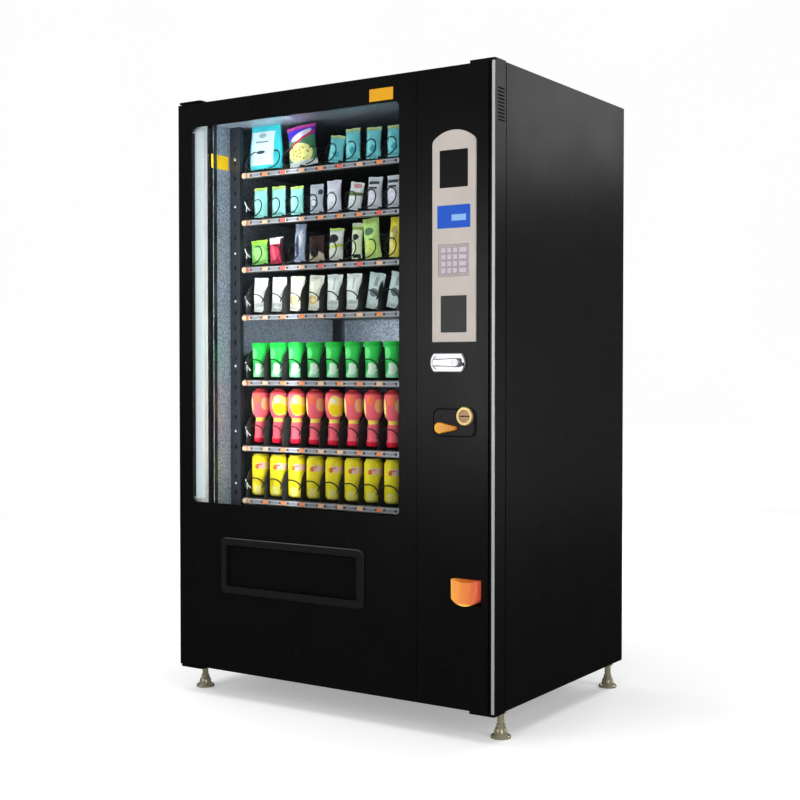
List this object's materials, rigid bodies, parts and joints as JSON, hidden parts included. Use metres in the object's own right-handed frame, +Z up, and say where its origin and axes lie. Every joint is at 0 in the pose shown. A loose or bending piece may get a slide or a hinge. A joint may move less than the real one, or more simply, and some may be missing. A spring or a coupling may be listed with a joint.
{
  "type": "snack vending machine",
  "caption": "Glass-fronted spiral snack vending machine with a hinged door, payment column and delivery hatch on levelling feet.",
  "frame": {"origin": "on the floor, under the middle of the overall box", "axes": "+X to the right seen from the front, +Y to the back, +Z up"},
  "size_m": [1.2, 0.9, 1.95],
  "materials": {
    "black_paint": "satin black powder coat",
    "unit_aluminium": "aluminium fins and tubes",
    "silver_trim": "bright anodised",
    "silver_fascia": "satin silver paint",
    "liner": "stucco-embossed aluminium",
    "tray_steel": "black dividers and silver price rail",
    "bin_steel": "matt black",
    "zinc": "yellow-passivated zinc",
    "spring_wire": "black coated spring wire",
    "coupler_plastic": "black moulded plastic",
    "motor_case": "grey moulded gearmotor case",
    "inlet_plastic": "black moulded plastic",
    "seal": "soft black seal",
    "window": "clear double glazing",
    "lamp_white": "white diffuser",
    "lens": "smoked lens",
    "keypad_grey": "moulded plate",
    "key_grey": "rubbery key cap",
    "chrome": "polished chrome",
    "coin_grey": "textured dark grey",
    "lever_yellow": "translucent yellow",
    "cup_orange": "translucent orange",
    "hatch_grey": "dark grey satin"
  },
  "bodies": {
    "cabinet": {"cabinet_shell": "black_paint", "base_pan": "black_paint", "feet": "zinc", "chamber_liner": "liner", "delivery_bin": "bin_steel", "tray_runners": "black_paint", "tray_1": "tray_steel", "tray_2": "tray_steel", "tray_3": "tray_steel", "tray_4": "tray_steel", "tray_5": "tray_steel", "tray_6": "tray_steel", "tray_7": "tray_steel", "lower_couplers": "coupler_plastic", "coil_motors": "motor_case", "cooling_unit": "unit_aluminium", "power_inlet": "inlet_plastic", "door_gasket": "seal", "hinge_brackets": "black_paint"},
    "door": {"door_skin": "black_paint", "window_glass": "window", "lamp": "lamp_white", "control_skin": "black_paint", "edge_trims": "silver_trim", "fascia": "silver_fascia", "display": "lens", "keypad_plate": "keypad_grey", "lock_housing": "chrome", "coin_plate": "coin_grey", "coin_mechanism": "motor_case", "coin_cup": "cup_orange", "delivery_frame": "hatch_grey"},
    "delivery_flap": {"delivery_flap": "hatch_grey"},
    "lock_spindle": {"lock_spindle": "chrome"},
    "lock_handle": {"lock_handle": "chrome"},
    "coin_return_lever": {"coin_return_lever": "lever_yellow"},
    "key_1_1": {"key_1_1": "key_grey"},
    "key_1_2": {"key_1_2": "key_grey"},
    "key_1_3": {"key_1_3": "key_grey"},
    "key_1_4": {"key_1_4": "key_grey"},
    "key_2_1": {"key_2_1": "key_grey"},
    "key_2_2": {"key_2_2": "key_grey"},
    "key_2_3": {"key_2_3": "key_grey"},
    "key_2_4": {"key_2_4": "key_grey"},
    "key_3_1": {"key_3_1": "key_grey"},
    "key_3_2": {"key_3_2": "key_grey"},
    "key_3_3": {"key_3_3": "key_grey"},
    "key_3_4": {"key_3_4": "key_grey"},
    "key_4_1": {"key_4_1": "key_grey"},
    "key_4_2": {"key_4_2": "key_grey"},
    "key_4_3": {"key_4_3": "key_grey"},
    "key_4_4": {"key_4_4": "key_grey"},
    "coil_1": {"coil_1": "spring_wire"},
    "coil_2": {"coil_2": "spring_wire"},
    "coil_3": {"coil_3": "spring_wire"},
    "coil_4": {"coil_4": "spring_wire"},
    "coil_5": {"coil_5": "spring_wire"},
    "coil_6": {"coil_6": "spring_wire"},
    "coil_7": {"coil_7": "spring_wire"},
    "coil_8": {"coil_8": "spring_wire"}
  },
  "joints": [
    {"name": "door_swing", "type": "hinge", "parent": "cabinet", "child": "door", "pos_m": [-0.587, -0.394, 0], "axis": [0, 0, -1], "range_deg": [0, 110]},
    {"name": "flap_swing", "type": "hinge", "parent": "door", "child": "delivery_flap", "pos_m": [0, -0.421, 0.495], "axis": [1, 0, 0], "range_deg": [0, 75]},
    {"name": "lock_turn", "type": "hinge", "parent": "door", "child": "lock_spindle", "pos_m": [0.413, 0, 1.0905], "axis": [0, 1, 0], "range_deg": [0, 90]},
    {"name": "lock_handle_swing", "type": "hinge", "parent": "lock_spindle", "child": "lock_handle", "pos_m": [0.403, -0.44, 0], "axis": [0, 0, -1], "range_deg": [0, 40]},
    {"name": "coin_return_press", "type": "hinge", "parent": "door", "child": "coin_return_lever", "pos_m": [0.4215, 0, 0.902], "axis": [0, 1, 0], "range_deg": [0, 14], "stiffness_Nm_per_rad": 0.3, "springref_deg": -17.19},
    {"name": "key_1_1_press", "type": "slide", "parent": "door", "child": "key_1_1", "axis": [0, 1, 0], "range_m": [0, 0.0015], "stiffness_N_per_m": 400, "springref_m": -0.0005},
    {"name": "key_1_2_press", "type": "slide", "parent": "door", "child": "key_1_2", "axis": [0, 1, 0], "range_m": [0, 0.0015], "stiffness_N_per_m": 400, "springref_m": -0.0005},
    {"name": "key_1_3_press", "type": "slide", "parent": "door", "child": "key_1_3", "axis": [0, 1, 0], "range_m": [0, 0.0015], "stiffness_N_per_m": 400, "springref_m": -0.0005},
    {"name": "key_1_4_press", "type": "slide", "parent": "door", "child": "key_1_4", "axis": [0, 1, 0], "range_m": [0, 0.0015], "stiffness_N_per_m": 400, "springref_m": -0.0005},
    {"name": "key_2_1_press", "type": "slide", "parent": "door", "child": "key_2_1", "axis": [0, 1, 0], "range_m": [0, 0.0015], "stiffness_N_per_m": 400, "springref_m": -0.0005},
    {"name": "key_2_2_press", "type": "slide", "parent": "door", "child": "key_2_2", "axis": [0, 1, 0], "range_m": [0, 0.0015], "stiffness_N_per_m": 400, "springref_m": -0.0005},
    {"name": "key_2_3_press", "type": "slide", "parent": "door", "child": "key_2_3", "axis": [0, 1, 0], "range_m": [0, 0.0015], "stiffness_N_per_m": 400, "springref_m": -0.0005},
    {"name": "key_2_4_press", "type": "slide", "parent": "door", "child": "key_2_4", "axis": [0, 1, 0], "range_m": [0, 0.0015], "stiffness_N_per_m": 400, "springref_m": -0.0005},
    {"name": "key_3_1_press", "type": "slide", "parent": "door", "child": "key_3_1", "axis": [0, 1, 0], "range_m": [0, 0.0015], "stiffness_N_per_m": 400, "springref_m": -0.0005},
    {"name": "key_3_2_press", "type": "slide", "parent": "door", "child": "key_3_2", "axis": [0, 1, 0], "range_m": [0, 0.0015], "stiffness_N_per_m": 400, "springref_m": -0.0005},
    {"name": "key_3_3_press", "type": "slide", "parent": "door", "child": "key_3_3", "axis": [0, 1, 0], "range_m": [0, 0.0015], "stiffness_N_per_m": 400, "springref_m": -0.0005},
    {"name": "key_3_4_press", "type": "slide", "parent": "door", "child": "key_3_4", "axis": [0, 1, 0], "range_m": [0, 0.0015], "stiffness_N_per_m": 400, "springref_m": -0.0005},
    {"name": "key_4_1_press", "type": "slide", "parent": "door", "child": "key_4_1", "axis": [0, 1, 0], "range_m": [0, 0.0015], "stiffness_N_per_m": 400, "springref_m": -0.0005},
    {"name": "key_4_2_press", "type": "slide", "parent": "door", "child": "key_4_2", "axis": [0, 1, 0], "range_m": [0, 0.0015], "stiffness_N_per_m": 400, "springref_m": -0.0005},
    {"name": "key_4_3_press", "type": "slide", "parent": "door", "child": "key_4_3", "axis": [0, 1, 0], "range_m": [0, 0.0015], "stiffness_N_per_m": 400, "springref_m": -0.0005},
    {"name": "key_4_4_press", "type": "slide", "parent": "door", "child": "key_4_4", "axis": [0, 1, 0], "range_m": [0, 0.0015], "stiffness_N_per_m": 400, "springref_m": -0.0005},
    {"name": "coil_1_spin", "type": "hinge", "parent": "cabinet", "child": "coil_1", "pos_m": [-0.40275, 0, 1.76272], "axis": [0, 1, 0], "continuous": true},
    {"name": "coil_2_spin", "type": "hinge", "parent": "cabinet", "child": "coil_2", "pos_m": [-0.32625, 0, 1.76272], "axis": [0, 1, 0], "continuous": true},
    {"name": "coil_3_spin", "type": "hinge", "parent": "cabinet", "child": "coil_3", "pos_m": [-0.24975, 0, 1.76272], "axis": [0, 1, 0], "continuous": true},
    {"name": "coil_4_spin", "type": "hinge", "parent": "cabinet", "child": "coil_4", "pos_m": [-0.17325, 0, 1.76272], "axis": [0, 1, 0], "continuous": true},
    {"name": "coil_5_spin", "type": "hinge", "parent": "cabinet", "child": "coil_5", "pos_m": [-0.09675, 0, 1.76272], "axis": [0, 1, 0], "continuous": true},
    {"name": "coil_6_spin", "type": "hinge", "parent": "cabinet", "child": "coil_6", "pos_m": [-0.02025, 0, 1.76272], "axis": [0, 1, 0], "continuous": true},
    {"name": "coil_7_spin", "type": "hinge", "parent": "cabinet", "child": "coil_7", "pos_m": [0.05625, 0, 1.76272], "axis": [0, 1, 0], "continuous": true},
    {"name": "coil_8_spin", "type": "hinge", "parent": "cabinet", "child": "coil_8", "pos_m": [0.13275, 0, 1.76272], "axis": [0, 1, 0], "continuous": true}
  ],
  "couplings": [
    {"joint": "coil_2_spin", "follows": "coil_1_spin", "ratio": -1},
    {"joint": "coil_4_spin", "follows": "coil_3_spin", "ratio": -1}
  ]
}
